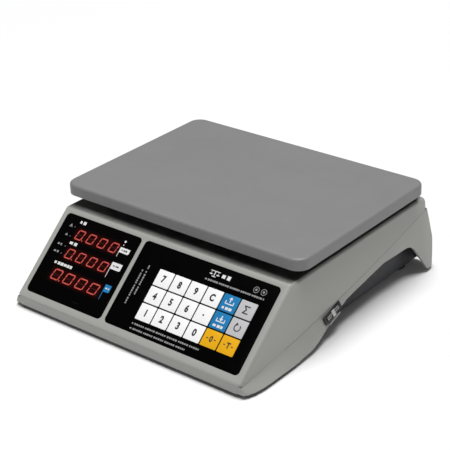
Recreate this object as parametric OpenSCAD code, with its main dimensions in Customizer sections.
/* [Body] */
// Overall width across the flared sides
body_w = 336; // [332:1:410]
// Overall depth from the chin to the rear wall
body_d = 346; // [330:1:420]
// Height of the deck above the surface
deck_h = 89; // [80:1:110]
// Width of the upper body above the side crease
shell_w = 315; // [312:1:380]
// Wall of the plastic shells
wall = 2.6; // [2:0.1:3.2]
// Angle of the front panel from level, in degrees
fascia_a = 41; // [36:1:46]
// Height of the upright chin below the front panel
chin_h = 10; // [8:1:14]
// Gap between the lower edge of the upper shell and the surface
edge_gap = 4.5; // [4:0.5:8]
// Radius of the long side edges of the front panel and the deck
side_r = 4; // [3.4:0.1:6]
// How far the rear wall leans forward at its top
rear_lean = 10; // [4:1:16]
// Radius of the upright rear corners
corner_r = 15; // [8:1:20]
// Height of the top of the side arches above the surface
arch_h = 43; // [34:1:46]

/* [Pan] */
// Length of the weighing pan, side to side
pan_l = 329; // [300:1:360]
// Width of the weighing pan, front to back
pan_w = 232; // [220:1:260]
// Height of the pan's rim
pan_rim = 13; // [10:1:18]
// Corner radius of the pan
pan_r = 15; // [12:1:30]
// Thickness of the pan's sheet
pan_t = 1.5; // [1.2:0.1:2]
// Gap between the deck and the pan's rim
pan_gap = 11.5; // [9:0.5:16]
// Distance of the pan's front edge behind the front edge of the deck
pan_back = 6.8; // [4:0.2:14]

/* [Front panel] */
// Height of both panels along the slope
panel_h = 99; // [96:1:104]
// Width across both panels
panels_w = 298.5; // [296:0.5:303]
// Left edge of the bar between the panels
bar_x = -37; // [-40:1:-36]
// Width of the bar between the panels
bar_w = 5; // [4:0.5:6]
// Depth of the panels' recesses
recess = 1; // [0.8:0.1:1.2]
// Clearance round each panel and key
fit_gap = 0.3; // [0.2:0.05:0.4]

/* [Keys] */
// Spacing of the keys, side to side
key_px = 21.95; // [21:0.05:22.5]
// Spacing of the keys along the slope
key_py = 20.1; // [19:0.1:21]
// Width of the bars between keys
key_bar = 1.5; // [1.2:0.1:2]
// Left edge of the first key
key_x0 = 3; // [0:1:8]
// Distance of the first row below the panel's top edge
key_s0 = 24.6; // [22:0.2:28]
// Travel of a key
key_travel = 0.4; // [0.3:0.05:0.5]

/* [Load cell] */
// Length of the load cell
cell_l = 130; // [120:1:140]
// Width of the load cell
cell_w = 30; // [25:1:40]
// Height of the load cell
cell_h = 22; // [18:0.1:28]
// Height of the block under the load cell
cell_foot_h = 29; // [24:1:32]
// Travel of the pan under full load
cell_travel = 0.6; // [0.4:0.1:0.8]

/* [Feet] */
// Radius of a foot's pad
foot_r = 13; // [10:1:15]
// Height of a foot's pad
foot_h = 6; // [5:0.5:6]
// Radius of a foot's screw
stud_r = 4; // [3:0.5:5]
// Clearance of a turning or sliding fit
run_gap = 0.05; // [0.03:0.01:0.08]

/* [Power] */
// Length of the rocker switch's bezel
switch_l = 32; // [28:1:34]
// Height of the rocker switch's bezel
switch_h = 8; // [7:0.5:9]
// Length of the battery
battery_l = 101; // [90:1:105]
// Width of the battery
battery_w = 47; // [40:1:50]
// Height of the battery
battery_h = 70; // [60:1:70]

/* [Hidden] */
$fn = 48;
eps = 0.01;
arc_steps = 8;
edge_steps = 5;

front_y = -body_d / 2;
rear_y = body_d / 2;
rear_top_y = rear_y - rear_lean;
half_w = body_w / 2;
half_shell = shell_w / 2;
flare = half_w - half_shell;
chin_z = edge_gap + chin_h;
deck_y = front_y + (deck_h - chin_z) / tan(fascia_a);
rear_a = atan(rear_lean / (deck_h - edge_gap));
chin_r = 6;
brow_r = 5;
deck_rear_r = 9;
panel_border = 6;
panel_corner = 5;
panel_y0 = deck_y - panel_border * cos(fascia_a);
panel_z0 = deck_h - panel_border * sin(fascia_a);

pan_y = deck_y + pan_back + pan_w / 2;
rim_z = deck_h + pan_gap;
pan_top = rim_z + pan_rim;
pan_edge_r = 3;

floor_z = 8;
floor_t = 3;
floor_top = floor_z + floor_t;
lip_z = 2.5;
lip_t = edge_gap - lip_z - 0.2;
tub_half = half_shell - 11.5;
tub_t = 2.5;
tub_front = front_y + 66;
tub_rear = rear_y - 14;
floor_rear = rear_y - wall - 2;
tub_back_h = 20;
tub_h = arch_h + 7;

cell_z = floor_top + cell_foot_h;
cell_top = cell_z + cell_h;
cell_end = 30;
cell_screw_r = 3;
head_x = cell_l / 2 - cell_end / 2;
spider_z = deck_h + 4;
spider_t = 8;
spider_dx = 122;
spider_dy = 82;
head_hole_r = 27;
buffer_r = 8;
stop_r = 3;

foot_x = 128;
foot_front = front_y + 34;
foot_rear = rear_y - 28;
foot_places = [
    ["front_left", -foot_x, foot_front],
    ["front_right", foot_x, foot_front],
    ["rear_left", -foot_x, foot_rear],
    ["rear_right", foot_x, foot_rear]
];
socket_r = 5;
socket_floor = 2;
stud_len = 14;
boss_top = 19;
boss_r = 9;

key_w = key_px - key_bar;
key_h = key_py - key_bar;
key_cols = 6;
key_t = 1.4;
key_proud = 0.15;
overlay_z = -0.1;
board_z = -8;
stem_z = -3.5;
KEYS = [
    "key_7", "key_8", "key_9", "key_clear", "key_recall", "key_sum",
    "key_4", "key_5", "key_6", "key_point", "key_store", "key_reset",
    "key_1", "key_2", "key_3", "key_0", "key_zero", "key_tare"
];
key_colors = ["white", "white", "white", "white", "steelblue", "lightgray"];

led_rows = [
    [-125.5, 20.5, 72, 18],
    [-125.5, 44.3, 72, 18],
    [-128.5, 70.8, 78, 19]
];
led_board_z = -11;
led_t = 8;
rear_win_w = 150;
rear_win_h = 46;
rear_win_z = 56;
rear_led_rows = [13, 0, -13];

battery_x = -138 + battery_l / 2;
battery_y = 99;
door_gap = 0.3;
door_screw_r = 1;
door_w = battery_w + 6;
door_l = battery_l + 6;
door_screw_x = battery_x - 20;
door_screw_y = battery_y - door_w / 2 - 7;
board_x = 92;
board_y = 100;
board_l = 86;
board_w = 70;
board_t = 1.6;
post_h = 6;
post_r = 2.4;
post_gap = 0.5;
vial_x = -120;
vial_y = deck_y + 32;
jack_x = 112;
jack_z = 24;

switch_y = -22;
switch_z = 26.8;
switch_pitch = 13.5;
switch_pocket = 12;

screw_r = 1.5;
screw_head_r = 3.2;
screw_boss_r = 4.2;
boss_x = half_shell - 7;
housing_screws_at = [
    [-boss_x, front_y + 40], [-26, front_y + 40], [boss_x, front_y + 40],
    [-138, 20], [138, 20], [-100, rear_y - 21], [100, rear_y - 21]
];

// ---- outlines ----

// Points of an arc that rounds corner b of the path a, b, c to radius r
function corner_arc(a, b, c, r) =
    let (u = (a - b) / norm(a - b), v = (c - b) / norm(c - b))
    let (half = acos(u * v) / 2, back = r / tan(half))
    let (mid = (u + v) / norm(u + v), centre = b + mid * r / sin(half))
    let (from = b + u * back - centre, to = b + v * back - centre)
    let (a0 = atan2(from[1], from[0]), sweep = atan2(to[1], to[0]) - a0)
    let (turn = sweep > 180 ? sweep - 360 : sweep < -180 ? sweep + 360 : sweep)
    [for (i = [0:arc_steps]) centre + r * [cos(a0 + turn * i / arc_steps), sin(a0 + turn * i / arc_steps)]];

// A closed path whose corners are rounded, one radius each, 0 for a sharp one
function rounded(path, radii) =
    let (n = len(path))
    [for (i = [0:n - 1])
        each radii[i] > 0
            ? corner_arc(path[(i + n - 1) % n], path[i], path[(i + 1) % n], radii[i])
            : [path[i]]];

// Rectangle with round corners, exact arcs
module round_rect(w, h, r) {
    square([w - 2 * r, h], center = true);
    square([w, h - 2 * r], center = true);
    for (x = [-1, 1], y = [-1, 1])
        translate([x * (w / 2 - r), y * (h / 2 - r)])
            circle(r);
}

// Slab with upright corners of radius r and a top edge of radius e
module soft_slab(w, h, t, r, e) {
    hull()
        for (x = [-1, 1], y = [-1, 1])
            translate([x * (w / 2 - r), y * (h / 2 - r), 0])
                rotate_extrude($fn = 32)
                    polygon(rounded([[0, 0], [r, 0], [r, t], [0, t]], [0, 0, e, 0]));
}

// Side view of the body, moved in by the inset i, down to the height bottom
function side_path(i, bottom) = [
    [front_y + i, bottom],
    [front_y + i, chin_z + i * tan(fascia_a) - i / cos(fascia_a)],
    [deck_y + i * tan(fascia_a / 2), deck_h - i],
    [rear_top_y - i, deck_h - i],
    [rear_y - i / cos(rear_a), bottom]
];

function side_outline(i, bottom) =
    rounded(side_path(i, bottom), [0, max(chin_r - i, 1), max(brow_r - i, 1), deck_rear_r - i, 0]);

// Closed solid through a row of rings that all have the same number of points
module loft(rings) {
    n = len(rings[0]);
    last = len(rings) - 1;
    sides = [for (r = [0:last - 1], k = [0:n - 1])
        let (a = n * r + k, b = n * r + (k + 1) % n)
        each [[a, b, b + n], [a, b + n, a + n]]];
    near = [for (k = [n - 1:-1:0]) k];
    far = [for (k = [0:n - 1]) n * last + k];
    polyhedron([for (r = rings) each r], concat(sides, [near, far]));
}

// Body above the crease: the side view made w wide, its side edges rounded to e
module soft_prism(i, w, e) {
    bottom = i > 0 ? edge_gap - 1 : edge_gap;
    steps = [for (k = [0:edge_steps]) 90 * k / edge_steps];
    half = [for (a = steps) [w / 2 - e + e * sin(a), i + e - e * cos(a)]];
    stations = concat(
        [for (k = [edge_steps:-1:0]) [-half[k][0], half[k][1]]],
        half
    );
    loft([for (s = stations) [for (p = side_outline(s[1], bottom)) [s[0], p[0], p[1]]]]);
}

// Plan view of the body, w wide
module plan_prism(w, i) {
    front_r = 7;
    outline = [
        [-w / 2, front_y + i], [w / 2, front_y + i],
        [w / 2, rear_y - i], [-w / 2, rear_y - i]
    ];
    radii = [front_r - i, front_r - i, corner_r - i, corner_r - i];
    linear_extrude(deck_h + 20)
        polygon(rounded(outline, radii));
}

// Height of the side crease above the surface, at y
function crease_z(y) =
    let (t = (y - front_y) / body_d)
    chin_z - 2.5 + 35 * t + 28 * t * t;

// How far the side's lower edge stands out from the crease, at y
function flare_at(y) =
    let (u = min(1, max(0, (y - front_y) / 34)))
    flare * sqrt(1 - (1 - u) * (1 - u));

// The flared skirt of one side: a closed strip from the crease to the lower edge
module skirt(i) {
    stations = 16;
    bottom = edge_gap - (i > 0 ? 1 : 0);
    drop = i > 0 ? 1.5 : 0;
    start = front_y + (i > 0 ? 8 : 1);
    length = rear_y - start;
    root_x = half_shell - 9;
    ys = [for (j = [0:stations]) start + length * pow(j / stations, 1.6)];
    loft([for (y = ys) [
        [root_x, y, crease_z(y) - drop],
        [root_x, y, bottom],
        [half_shell - i * 1.25 + flare_at(y), y, bottom],
        [half_shell - i, y, crease_z(y) - drop]
    ]]);
}

module both_sides() {
    children();
    mirror([1, 0, 0])
        children();
}

// The body's outer form, or its inside at the inset i
module body_form(i) {
    intersection() {
        plan_prism(body_w - 2 * i, i);
        union() {
            intersection() {
                soft_prism(i, shell_w - 2 * i, side_r - i);
                plan_prism(shell_w - 2 * i, i);
            }
            intersection() {
                rotate([90, 0, 90])
                    linear_extrude(body_w + 2, center = true)
                        polygon(side_outline(i, i > 0 ? edge_gap - 1 : edge_gap));
                both_sides() skirt(i);
            }
        }
    }
}

// The long arch under each side, from the front foot to the rear foot
module side_arches() {
    path = [
        [front_y + 66, -1], [front_y + 78, edge_gap], [front_y + 112, edge_gap + 2.4],
        [front_y + 178, arch_h - 12], [rear_y - 98, arch_h], [rear_y - 45, arch_h],
        [rear_y - 16, -1]
    ];
    rotate([90, 0, 90])
        linear_extrude(body_w + 4, center = true)
            polygon(rounded(path, [0, 4, 60, 10, 60, 20, 0]));
}

// ---- places ----

// Front panel: x to the right, y up the slope, z out of the panel
module on_fascia() {
    translate([0, panel_y0, panel_z0])
        rotate([fascia_a, 0, 0])
            children();
}

// Rear wall: z out of the wall, y up it
module on_rear() {
    lean_y = rear_y - (rear_win_z - edge_gap) * tan(rear_a);
    translate([0, lean_y, rear_win_z])
        rotate([90 - rear_a, 0, 180])
            children();
}

// Right-hand flare at the switch: x out of the wall, y along it
module on_flare() {
    rise = crease_z(switch_y) - edge_gap;
    out = flare_at(switch_y);
    x = half_shell + out * (crease_z(switch_y) - switch_z) / rise;
    translate([x, switch_y, switch_z])
        rotate([switch_pitch, -atan(out / rise), 0])
            children();
}

module left_panel_at(inset, r, t) {
    left = -panels_w / 2;
    w = bar_x - left;
    translate([left + w / 2, -panel_h / 2, -t])
        linear_extrude(t)
            round_rect(w - 2 * inset, panel_h - 2 * inset, r);
}

module right_panel_at(inset, r, t) {
    left = bar_x + bar_w;
    w = panels_w / 2 - left;
    translate([left + w / 2, -panel_h / 2, -t])
        linear_extrude(t)
            round_rect(w - 2 * inset, panel_h - 2 * inset, r);
}

module at_key(k) {
    col = k % key_cols;
    row = floor(k / key_cols);
    x = key_x0 + col * key_px + key_px / 2 - key_bar / 2;
    y = -(key_s0 + row * key_py + key_h / 2);
    translate([x, y, 0])
        children();
}

module at_each(places) {
    for (p = places)
        translate([p[0], p[1], 0])
            children();
}

led_posts = [[-140, -8], [-48, -8], [-140, -92], [-48, -92]];
key_posts = [[-4, -16], [140, -16], [-4, -92], [140, -92]];
board_posts = [
    [board_x - 38, board_y - 30], [board_x + 38, board_y - 30],
    [board_x - 38, board_y + 30], [board_x + 38, board_y + 30]
];
rear_posts = [[-80, 20], [80, 20], [-80, -20], [80, -20]];
stop_places = [for (x = [-1, 1], y = [-1, 1]) [x * 100, pan_y + y * 67]];
spider_ends = [for (x = [-1, 1], y = [-1, 1]) [x * spider_dx, pan_y + y * spider_dy]];

// Post down from the front panel, with a screw hole in its end
module fascia_post(h) {
    difference() {
        translate([0, 0, -wall - h])
            cylinder(r = 3, h = h + 1);
        translate([0, 0, -wall - h - eps])
            cylinder(r = 1.1, h = 5);
    }
}

// ---- shells ----

module housing_bosses() {
    difference() {
        intersection() {
            body_form(wall - 0.6);
            at_each(housing_screws_at)
                translate([0, 0, floor_top])
                    cylinder(r = screw_boss_r, h = deck_h);
        }
        at_each(housing_screws_at)
            translate([0, 0, floor_top - eps])
                cylinder(r = screw_r, h = 14);
    }
}

module top_housing() color("gainsboro") {
    led_post_h = -led_board_z - wall;
    key_post_h = -board_z - wall;
    difference() {
        body_form(0);
        body_form(wall);
        side_arches();
        on_fascia() {
            translate([0, 0, eps]) {
                left_panel_at(0, panel_corner, recess + eps);
                right_panel_at(0, panel_corner, recess + eps);
            }
            translate([-138, -86, -10])
                cube([86, 76, 20]);
            translate([key_x0 - 1, -key_s0 - 3 * key_py, -10])
                cube([key_cols * key_px + 0.5, 3 * key_py + 1, 20]);
        }
        on_rear()
            translate([0, 0, -recess])
                linear_extrude(10)
                    round_rect(rear_win_w, rear_win_h, 6);
        on_rear()
            translate([0, 0, -10])
                linear_extrude(20)
                    square([rear_win_w - 16, rear_win_h - 6], center = true);
        translate([head_x, pan_y, deck_h - 10])
            cylinder(r = head_hole_r, h = 20);
        at_each(stop_places)
            translate([0, 0, deck_h - 10])
                cylinder(r = stop_r + run_gap, h = 20);
        translate([vial_x, vial_y, deck_h - 10])
            cylinder(r = 9 + run_gap, h = 20);
        translate([jack_x, rear_y + 10, jack_z])
            rotate([90, 0, 0])
                cylinder(r = 5.6, h = 20);
        on_flare() {
            cube([40, switch_l - 4, switch_h - 2], center = true);
            // flat seat for the bezel's rim
            translate([0, -switch_l / 2 - fit_gap, -switch_h / 2 - fit_gap])
                cube([20, switch_l + 2 * fit_gap, switch_h + 2 * fit_gap]);
        }
    }
    housing_bosses();
    on_fascia() {
        for (p = led_posts)
            translate([p[0], p[1], 0])
                fascia_post(led_post_h);
        for (p = key_posts)
            translate([p[0], p[1], 0])
                fascia_post(key_post_h);
    }
}

// Plan outline of the base, moved in by i from the upper body, with the share out of the flare
function base_half(i, out) = [
    [half_shell - i - 7, front_y + i],
    for (j = [0:10])
        let (y = front_y + i + 4 + 30 * j / 10)
        [half_shell - i + out * flare_at(y) - (j == 0 ? 1 : 0), y]
];

module base_outline(i, out, y_end) {
    right = concat(base_half(i, out), [[half_shell - i + out * flare, y_end]]);
    left = [for (j = [len(right) - 1:-1:0]) [-right[j][0], right[j][1]]];
    polygon(concat(right, left));
}

module base_pan() color([0.2, 0.2, 0.22]) {
    toe_end = front_y + 82;
    toe_in = wall + 1.4;
    toe_wall = 3;
    difference() {
        union() {
            // lip that shows as a dark line under the upper shell
            translate([0, 0, lip_z])
                linear_extrude(lip_t)
                    base_outline(1, 1, toe_end);
            translate([0, 0, lip_z])
                linear_extrude(floor_top - lip_z)
                    base_outline(toe_in, 0, toe_end - 4);
            translate([-tub_half, front_y + 20, floor_z])
                cube([2 * tub_half, floor_rear - front_y - 20, floor_t]);
            translate([-tub_half, tub_front, floor_z])
                cube([2 * tub_half, tub_rear - tub_front, tub_h - floor_z]);
        }
        // hollow of the toe, from below
        translate([0, 0, lip_z - eps])
            linear_extrude(floor_z - lip_z + eps)
                base_outline(toe_in + toe_wall, 0, toe_end - 8);
        // hollow of the tub, from above
        translate([-tub_half + tub_t, tub_front + tub_t, floor_top])
            cube([2 * (tub_half - tub_t), tub_rear - tub_front - 2 * tub_t, 100]);
        // the tub's back is low, under the rear display
        translate([-tub_half - 1, tub_rear - tub_t - 1, tub_back_h])
            cube([2 * tub_half + 2, tub_t + 10, 100]);
        at_each([for (f = foot_places) [f[1], f[2]]])
            translate([0, 0, -1])
                cylinder(r = stud_r + run_gap, h = 60);
        translate([battery_x, battery_y, 0])
            linear_extrude(40)
                square([door_l + 2 * door_gap, door_w + 2 * door_gap], center = true);
        translate([-head_x, pan_y, 0])
            for (x = [-8, 8])
                translate([x, 0, -1])
                    cylinder(r = cell_screw_r + run_gap, h = 40);
        at_each(housing_screws_at) {
            translate([0, 0, -1])
                cylinder(r = screw_r + 0.3, h = 40);
            translate([0, 0, -1])
                cylinder(r = screw_head_r + 0.3, h = floor_z + 1);
        }
        translate([door_screw_x, door_screw_y, -1])
            cylinder(r = door_screw_r + 0.1, h = 20);
        // the tub's wall stays clear of the switch
        on_flare()
            cube([2 * switch_pocket + 8, switch_l + 6, switch_h + 6], center = true);
    }
    difference() {
        at_each([for (f = foot_places) [f[1], f[2]]])
            translate([0, 0, floor_z])
                cylinder(r = boss_r, h = boss_top - floor_z);
        at_each([for (f = foot_places) [f[1], f[2]]])
            translate([0, 0, -1])
                cylinder(r = stud_r + run_gap, h = 60);
    }
    at_each(board_posts)
        translate([0, 0, floor_top - eps])
            difference() {
                cylinder(r = 3.5, h = post_h + eps);
                translate([0, 0, 1])
                    cylinder(r = 1.1, h = 20);
            }
    // boss for the screw that holds the battery door
    translate([door_screw_x, door_screw_y, floor_top - eps])
        difference() {
            cylinder(r = 4, h = 8);
            translate([0, 0, -1])
                cylinder(r = door_screw_r + 0.1, h = 7);
        }
}

// ---- front panel ----

module display_window() color([0.08, 0.02, 0.02]) on_fascia()
    translate([0, 0, overlay_z])
        left_panel_at(fit_gap, panel_corner - fit_gap, recess + overlay_z);

module keypad_overlay() color([0.05, 0.05, 0.05]) on_fascia()
    difference() {
        translate([0, 0, overlay_z])
            right_panel_at(fit_gap, panel_corner - fit_gap, recess + overlay_z);
        for (k = [0:len(KEYS) - 1])
            at_key(k)
                cube([key_w + 2 * fit_gap, key_h + 2 * fit_gap, 10], center = true);
    }

module key(k) {
    last_row = k >= 2 * key_cols;
    cap_color = last_row && k % key_cols > 3 ? "gold"
        : k % key_cols == 3 && last_row ? "white" : key_colors[k % key_cols];
    color(cap_color) on_fascia() at_key(k) {
        translate([0, 0, key_proud - key_t / 2])
            cube([key_w, key_h, key_t], center = true);
        translate([0, 0, stem_z])
            cylinder(r = 2.5, h = key_proud - stem_z - key_t / 2);
    }
}

module keypad_board() color("darkgreen") on_fascia()
    difference() {
        translate([-9, -97, board_z - board_t])
            cube([153, 86, board_t]);
        for (p = key_posts)
            translate([p[0], p[1], board_z - 5])
                cylinder(r = 1.2, h = 10);
    }

module tact_switches() color("dimgray") on_fascia()
    for (k = [0:len(KEYS) - 1])
        at_key(k) {
            translate([-3, -3, board_z])
                cube([6, 6, 3.4]);
            translate([0, 0, board_z + 3.4 - eps])
                cylinder(r = 1.7, h = stem_z - key_travel - 0.1 - board_z - 3.4);
        }

module front_display_board() color("darkgreen") on_fascia()
    difference() {
        translate([-144, -97, led_board_z - board_t])
            cube([101, 94, board_t]);
        for (p = led_posts)
            translate([p[0], p[1], led_board_z - 5])
                cylinder(r = 1.2, h = 10);
    }

// A row of four seven-segment digits in one block, w long and h high
module led_module(w, h) {
    digit_w = w / 4;
    difference() {
        translate([-w / 2, -h / 2, 0])
            cube([w, h, led_t]);
        for (d = [0:3])
            translate([(d - 1.5) * digit_w, 0, led_t - 0.4])
                linear_extrude(1)
                    difference() {
                        square([digit_w * 0.62, h * 0.7], center = true);
                        for (s = [-1, 1])
                            translate([0, s * h * 0.16])
                                square([digit_w * 0.42, h * 0.2], center = true);
                    }
    }
}

module front_led_modules() color([0.35, 0.05, 0.05]) on_fascia()
    for (m = led_rows)
        translate([m[0] + m[2] / 2 - 2, -m[1], led_board_z])
            led_module(m[2], m[3]);

module screws_at_posts(places, z) {
    for (p = places)
        translate([p[0], p[1], z]) {
            cylinder(r = 1, h = 5);
            translate([0, 0, -1.6])
                cylinder(r = 2.2, h = 1.6);
        }
}

module board_screws() color("silver") {
    on_fascia() {
        screws_at_posts(led_posts, led_board_z - board_t);
        screws_at_posts(key_posts, board_z - board_t);
    }
    on_rear()
        screws_at_posts(rear_posts, -13.6);
    for (p = board_posts)
        translate([p[0], p[1], floor_top + post_h + board_t])
            rotate([180, 0, 0])
                screws_at_posts([[0, 0]], 0);
}

// ---- customer's display on the rear wall ----

module rear_window() color([0.08, 0.02, 0.02]) on_rear()
    translate([0, 0, -recess])
        linear_extrude(recess - 0.1)
            round_rect(rear_win_w - 2 * fit_gap, rear_win_h - 2 * fit_gap, 6 - fit_gap);

module rear_display_board() color("darkgreen") on_rear() {
    difference() {
        translate([-86, -31, -13.6])
            cube([172, 62, board_t]);
        for (p = rear_posts)
            translate([p[0], p[1], -20])
                cylinder(r = 1.2, h = 20);
    }
    for (p = rear_posts)
        translate([p[0], p[1], -12])
            difference() {
                cylinder(r = post_r, h = 12 - wall - post_gap);
                translate([0, 0, -eps])
                    cylinder(r = 1.05, h = 5);
            }
}

module rear_led_modules() color([0.35, 0.05, 0.05]) on_rear()
    for (y = rear_led_rows)
        translate([0, y, -12])
            led_module(76, 12.4);

// ---- inside ----

module main_board() color("darkgreen") {
    z = floor_top + post_h;
    difference() {
        translate([board_x - board_l / 2, board_y - board_w / 2, z])
            cube([board_l, board_w, board_t]);
        at_each(board_posts)
            translate([0, 0, z - 1])
                cylinder(r = 1.2, h = 4);
    }
}

// Processor, memory, transformer, connectors and capacitors
module board_components() color("dimgray")
    translate([board_x, board_y, floor_top + post_h + board_t]) {
        blocks = [
            [-8, -2, 14, 14, 2], [14, -4, 8, 5, 1.6], [10, 12, 22, 18, 17],
            [-34, 18, 14, 6, 8], [-14, -26, 24, 6, 8], [16, -26, 14, 6, 8]
        ];
        for (b = blocks)
            translate([b[0], b[1], 0])
                cube([b[2], b[3], b[4]]);
        for (x = [-14, -3])
            translate([x, 22, 0])
                cylinder(r = 4.5, h = 12);
    }

// A flat cable bent over the boards, as a strip that follows its path
module ribbon(path, x, w) {
    t = 0.8;
    back = [for (i = [len(path) - 1:-1:0]) path[i] + [0, t]];
    translate([x, 0, 0])
        rotate([90, 0, 90])
            linear_extrude(w, center = true)
                polygon(concat(path, back));
}

module ribbon_cables() color("lightgray") {
    board_top = floor_top + post_h + board_t;
    y0 = board_y - 23;
    ribbon([[y0, board_top + 8.2], [y0 - 12, board_top + 10], [8, 33], [-50, 34], [-84, 44], [-96, 60]], 91, 20);
    ribbon([[board_y + 19, board_top + 8.2], [board_y + 33, board_top + 14], [rear_y - 24, 44]], board_x - 27, 12);
}

module load_cell() color("silver") {
    difference() {
        translate([-cell_l / 2, pan_y - cell_w / 2, cell_z])
            cube([cell_l, cell_w, cell_h]);
        translate([0, pan_y, cell_z + cell_h / 2]) {
            for (x = [-12, 12])
                translate([x, 0, 0])
                    rotate([90, 0, 0])
                        cylinder(r = 8, h = cell_w + 2, center = true);
            cube([24, cell_w + 2, 7], center = true);
        }
        translate([0, pan_y, 0])
            for (x = [-8, 8]) {
                translate([-head_x + x, 0, cell_z - 1])
                    cylinder(r = cell_screw_r + run_gap, h = 13);
                translate([head_x + x, 0, cell_top - 12])
                    cylinder(r = cell_screw_r + run_gap, h = 13);
            }
    }
}

module screw_block(z, h) {
    difference() {
        translate([-cell_end / 2, -cell_w / 2, z])
            cube([cell_end, cell_w, h]);
        for (x = [-8, 8])
            translate([x, 0, z - 1])
                cylinder(r = cell_screw_r + run_gap, h = h + 2);
    }
}

module load_cell_foot() color("gray")
    translate([-head_x, pan_y, 0])
        screw_block(floor_top, cell_foot_h);

module load_cell_head() color("gray")
    translate([head_x, pan_y, 0])
        screw_block(cell_top, spider_z - cell_top);

// Cap screw that stands on z and points up, l long below its head
module cap_screw(r, l, head_r, head_h) {
    translate([0, 0, -l])
        cylinder(r = r, h = l + eps);
    difference() {
        cylinder(r = head_r, h = head_h);
        translate([0, 0, head_h / 2])
            cylinder(r = head_r / 2, h = head_h, $fn = 6);
    }
}

module cell_foot_screws() color("dimgray")
    for (x = [-8, 8])
        translate([-head_x + x, pan_y, floor_z])
            rotate([180, 0, 0])
                cap_screw(cell_screw_r, floor_t + cell_foot_h + 10, 5, 4);

module cell_head_screws() color("dimgray")
    for (x = [-8, 8])
        translate([head_x + x, pan_y, spider_z + spider_t])
            cap_screw(cell_screw_r, spider_t + spider_z - cell_top + 10, 5, 5);

// Cross of four ribbed arms under the pan
module pan_spider() color("darkgray") {
    arm_l = norm([spider_dx, spider_dy]);
    arm_a = atan(spider_dy / spider_dx);
    translate([0, pan_y, spider_z])
        difference() {
            union() {
                for (a = [arm_a, -arm_a])
                    rotate([0, 0, a])
                        translate([-arm_l, -9, 0])
                            cube([2 * arm_l, 18, spider_t - 1]);
                for (x = [-1, 1], y = [-1, 1])
                    translate([x * spider_dx, y * spider_dy, 0])
                        cylinder(r = 11, h = spider_t);
                translate([-34, -22, 0])
                    cube([34 + head_x + 18, 44, spider_t]);
            }
            // hollows that leave ribs along each arm
            for (a = [arm_a, 180 - arm_a, 180 + arm_a, -arm_a])
                rotate([0, 0, a])
                    translate([84, -6, 2.5])
                        cube([arm_l - 100, 12, spider_t]);
            for (x = [-8, 8])
                translate([head_x + x, 0, -1])
                    cylinder(r = cell_screw_r + run_gap, h = spider_t + 2);
            for (x = [-1, 1], y = [-1, 1])
                translate([x * spider_dx, y * spider_dy, 4])
                    cylinder(r = 4, h = 10);
        }
}

module pan_buffers() color([0.15, 0.15, 0.15])
    at_each(spider_ends) {
        translate([0, 0, spider_z + 4])
            cylinder(r = 4 - run_gap, h = 5);
        translate([0, 0, spider_z + spider_t])
            cylinder(r = buffer_r, h = pan_top - pan_t - spider_z - spider_t);
    }

module weighing_pan() color([0.56, 0.56, 0.57]) {
    difference() {
        translate([0, pan_y, rim_z])
            soft_slab(pan_l, pan_w, pan_rim, pan_r, pan_edge_r);
        translate([0, pan_y, rim_z - 1])
            soft_slab(pan_l - 2 * pan_t, pan_w - 2 * pan_t, pan_rim - pan_t + 1,
                pan_r - pan_t, pan_edge_r - pan_t);
    }
    // rings that keep the pan on its buffers
    at_each(spider_ends)
        translate([0, 0, pan_top - pan_t - 4])
            difference() {
                cylinder(r = buffer_r + 2.2, h = 4.5);
                translate([0, 0, -eps])
                    cylinder(r = buffer_r + 0.4, h = 4 + eps);
            }
}

module overload_stops() color("dimgray")
    at_each(stop_places)
        translate([0, 0, deck_h - wall - 3]) {
            cylinder(r = stop_r, h = wall + 3 + spider_z - deck_h - cell_travel - 0.2);
            cylinder(r = stop_r + 2.5, h = 3);
        }

// ---- power ----

module battery() color([0.25, 0.27, 0.3])
    translate([battery_x, battery_y, floor_top]) {
        translate([0, 0, battery_h / 2 - 3])
            cube([battery_l, battery_w, battery_h - 6], center = true);
        translate([0, 0, battery_h - 6.01])
            linear_extrude(2)
                square([battery_l - 4, battery_w - 4], center = true);
        for (y = [-14, 14])
            translate([-battery_l / 2 + 9, y, battery_h - 5])
                translate([-3, -0.4, 0])
                    cube([6, 0.8, 6]);
    }

module battery_door() color([0.2, 0.2, 0.22]) {
    tab_x = door_screw_x - battery_x;
    translate([battery_x, battery_y, floor_z])
        difference() {
            union() {
                linear_extrude(floor_t - 0.1)
                    square([door_l, door_w], center = true);
                translate([tab_x, -door_w / 2 - 7, -1.6])
                    cylinder(r = 5, h = 1.5);
                translate([tab_x - 5, -door_w / 2 - 7, -1.6])
                    cube([10, 12, 1.5]);
                translate([tab_x - 5, -door_w / 2, -1.6])
                    cube([10, 5, 2]);
            }
            translate([tab_x, -door_w / 2 - 7, -5])
                cylinder(r = door_screw_r + 0.3, h = 10);
        }
}

module door_screw() color("silver")
    translate([door_screw_x, door_screw_y, floor_z - 1.6])
        rotate([180, 0, 0])
            cap_screw(door_screw_r, 8, 2.4, 1.8);

module power_socket() color([0.1, 0.1, 0.1]) {
    wall_y = rear_y - (jack_z - edge_gap) * tan(rear_a);
    translate([jack_x, wall_y - 0.8, jack_z])
        rotate([90, 0, 0])
            difference() {
                union() {
                    cylinder(r = 5.5, h = 4);
                    translate([-7, -5.5, 3.6])
                        cube([14, 11, 4.4]);
                }
                translate([0, 0, -1])
                    cylinder(r = 2.8, h = 8);
            }
    translate([jack_x, wall_y - 2, jack_z])
        rotate([90, 0, 0])
            cylinder(r = 1, h = 6.8);
}

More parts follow.
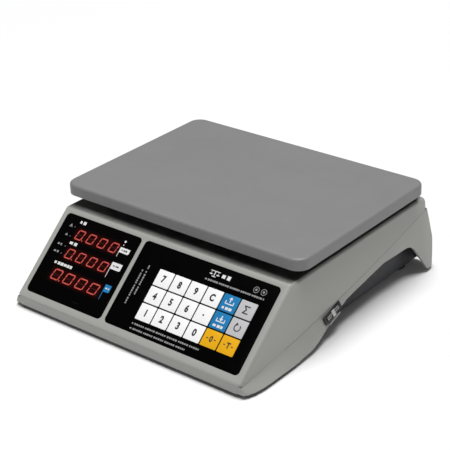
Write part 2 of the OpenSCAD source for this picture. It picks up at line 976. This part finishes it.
module rocker_bezel() color([0.12, 0.12, 0.12]) on_flare()
    difference() {
        union() {
            translate([0, -switch_l / 2, -switch_h / 2])
                cube([1.6, switch_l, switch_h]);
            translate([-switch_pocket, -switch_l / 2 + 2.3, -switch_h / 2 + 1.3])
                cube([switch_pocket + 1, switch_l - 4.6, switch_h - 2.6]);
        }
        translate([-switch_pocket + 1.2, -switch_l / 2 + 3.5, -switch_h / 2 + 2.2])
            cube([switch_pocket + 4, switch_l - 7, switch_h - 4.4]);
        translate([-3.5, 0, 0])
            cylinder(r = 0.9 + run_gap, h = switch_h - 3.2, center = true);
    }

// Rocker on a pin across its middle
module rocker() color([0.85, 0.85, 0.85]) on_flare() {
    l = switch_l - 8.4;
    h = switch_h - 5;
    intersection() {
        translate([-3.5, 0, -h / 2])
            linear_extrude(h)
                polygon([
                    [-2, -l / 2 + 3], [4, -l / 2], [5.4, -l / 2 + 0.4], [4.4, 0],
                    [5.4, l / 2 - 0.4], [4, l / 2], [-2, l / 2 - 3]
                ]);
        translate([-3.5, 0, -h])
            cylinder(r = l / 2, h = 2 * h);
    }
    translate([-3.5, 0, 0])
        cylinder(r = 0.9, h = switch_h - 3.6, center = true);
}

// ---- level, screws and feet ----

module level_vial() color("yellowgreen")
    translate([vial_x, vial_y, deck_h - 6]) {
        cylinder(r = 9, h = 7.5);
        translate([0, 0, 6 - wall - 1.2])
            cylinder(r = 11, h = 1.2);
    }

module housing_screws() color("silver")
    at_each(housing_screws_at)
        translate([0, 0, floor_z])
            rotate([180, 0, 0])
                cap_screw(screw_r - run_gap, 15, screw_head_r, 2.2);

module foot_pad(f) color([0.1, 0.1, 0.1])
    translate([foot_places[f][1], foot_places[f][2], 0])
        difference() {
            union() {
                cylinder(r = foot_r, h = foot_h - 2);
                cylinder(r1 = foot_r, r2 = foot_r - 3, h = foot_h);
            }
            translate([0, 0, socket_floor])
                cylinder(r = socket_r + run_gap, h = foot_h);
        }

module foot_screw(f) color("silver")
    translate([foot_places[f][1], foot_places[f][2], socket_floor + run_gap]) {
        cylinder(r = socket_r, h = foot_h - socket_floor - 0.2);
        cylinder(r = stud_r, h = foot_h - socket_floor + stud_len);
    }

base_pan();
top_housing();
display_window();
keypad_overlay();
for (k = [0:len(KEYS) - 1])
    key(k);
keypad_board();
tact_switches();
front_display_board();
front_led_modules();
rear_window();
rear_display_board();
rear_led_modules();
main_board();
board_components();
ribbon_cables();
load_cell();
load_cell_foot();
load_cell_head();
cell_foot_screws();
cell_head_screws();
pan_spider();
pan_buffers();
weighing_pan();
overload_stops();
battery();
battery_door();
door_screw();
power_socket();
rocker_bezel();
rocker();
level_vial();
housing_screws();
board_screws();
for (f = [0:len(foot_places) - 1]) {
    foot_pad(f);
    foot_screw(f);
}
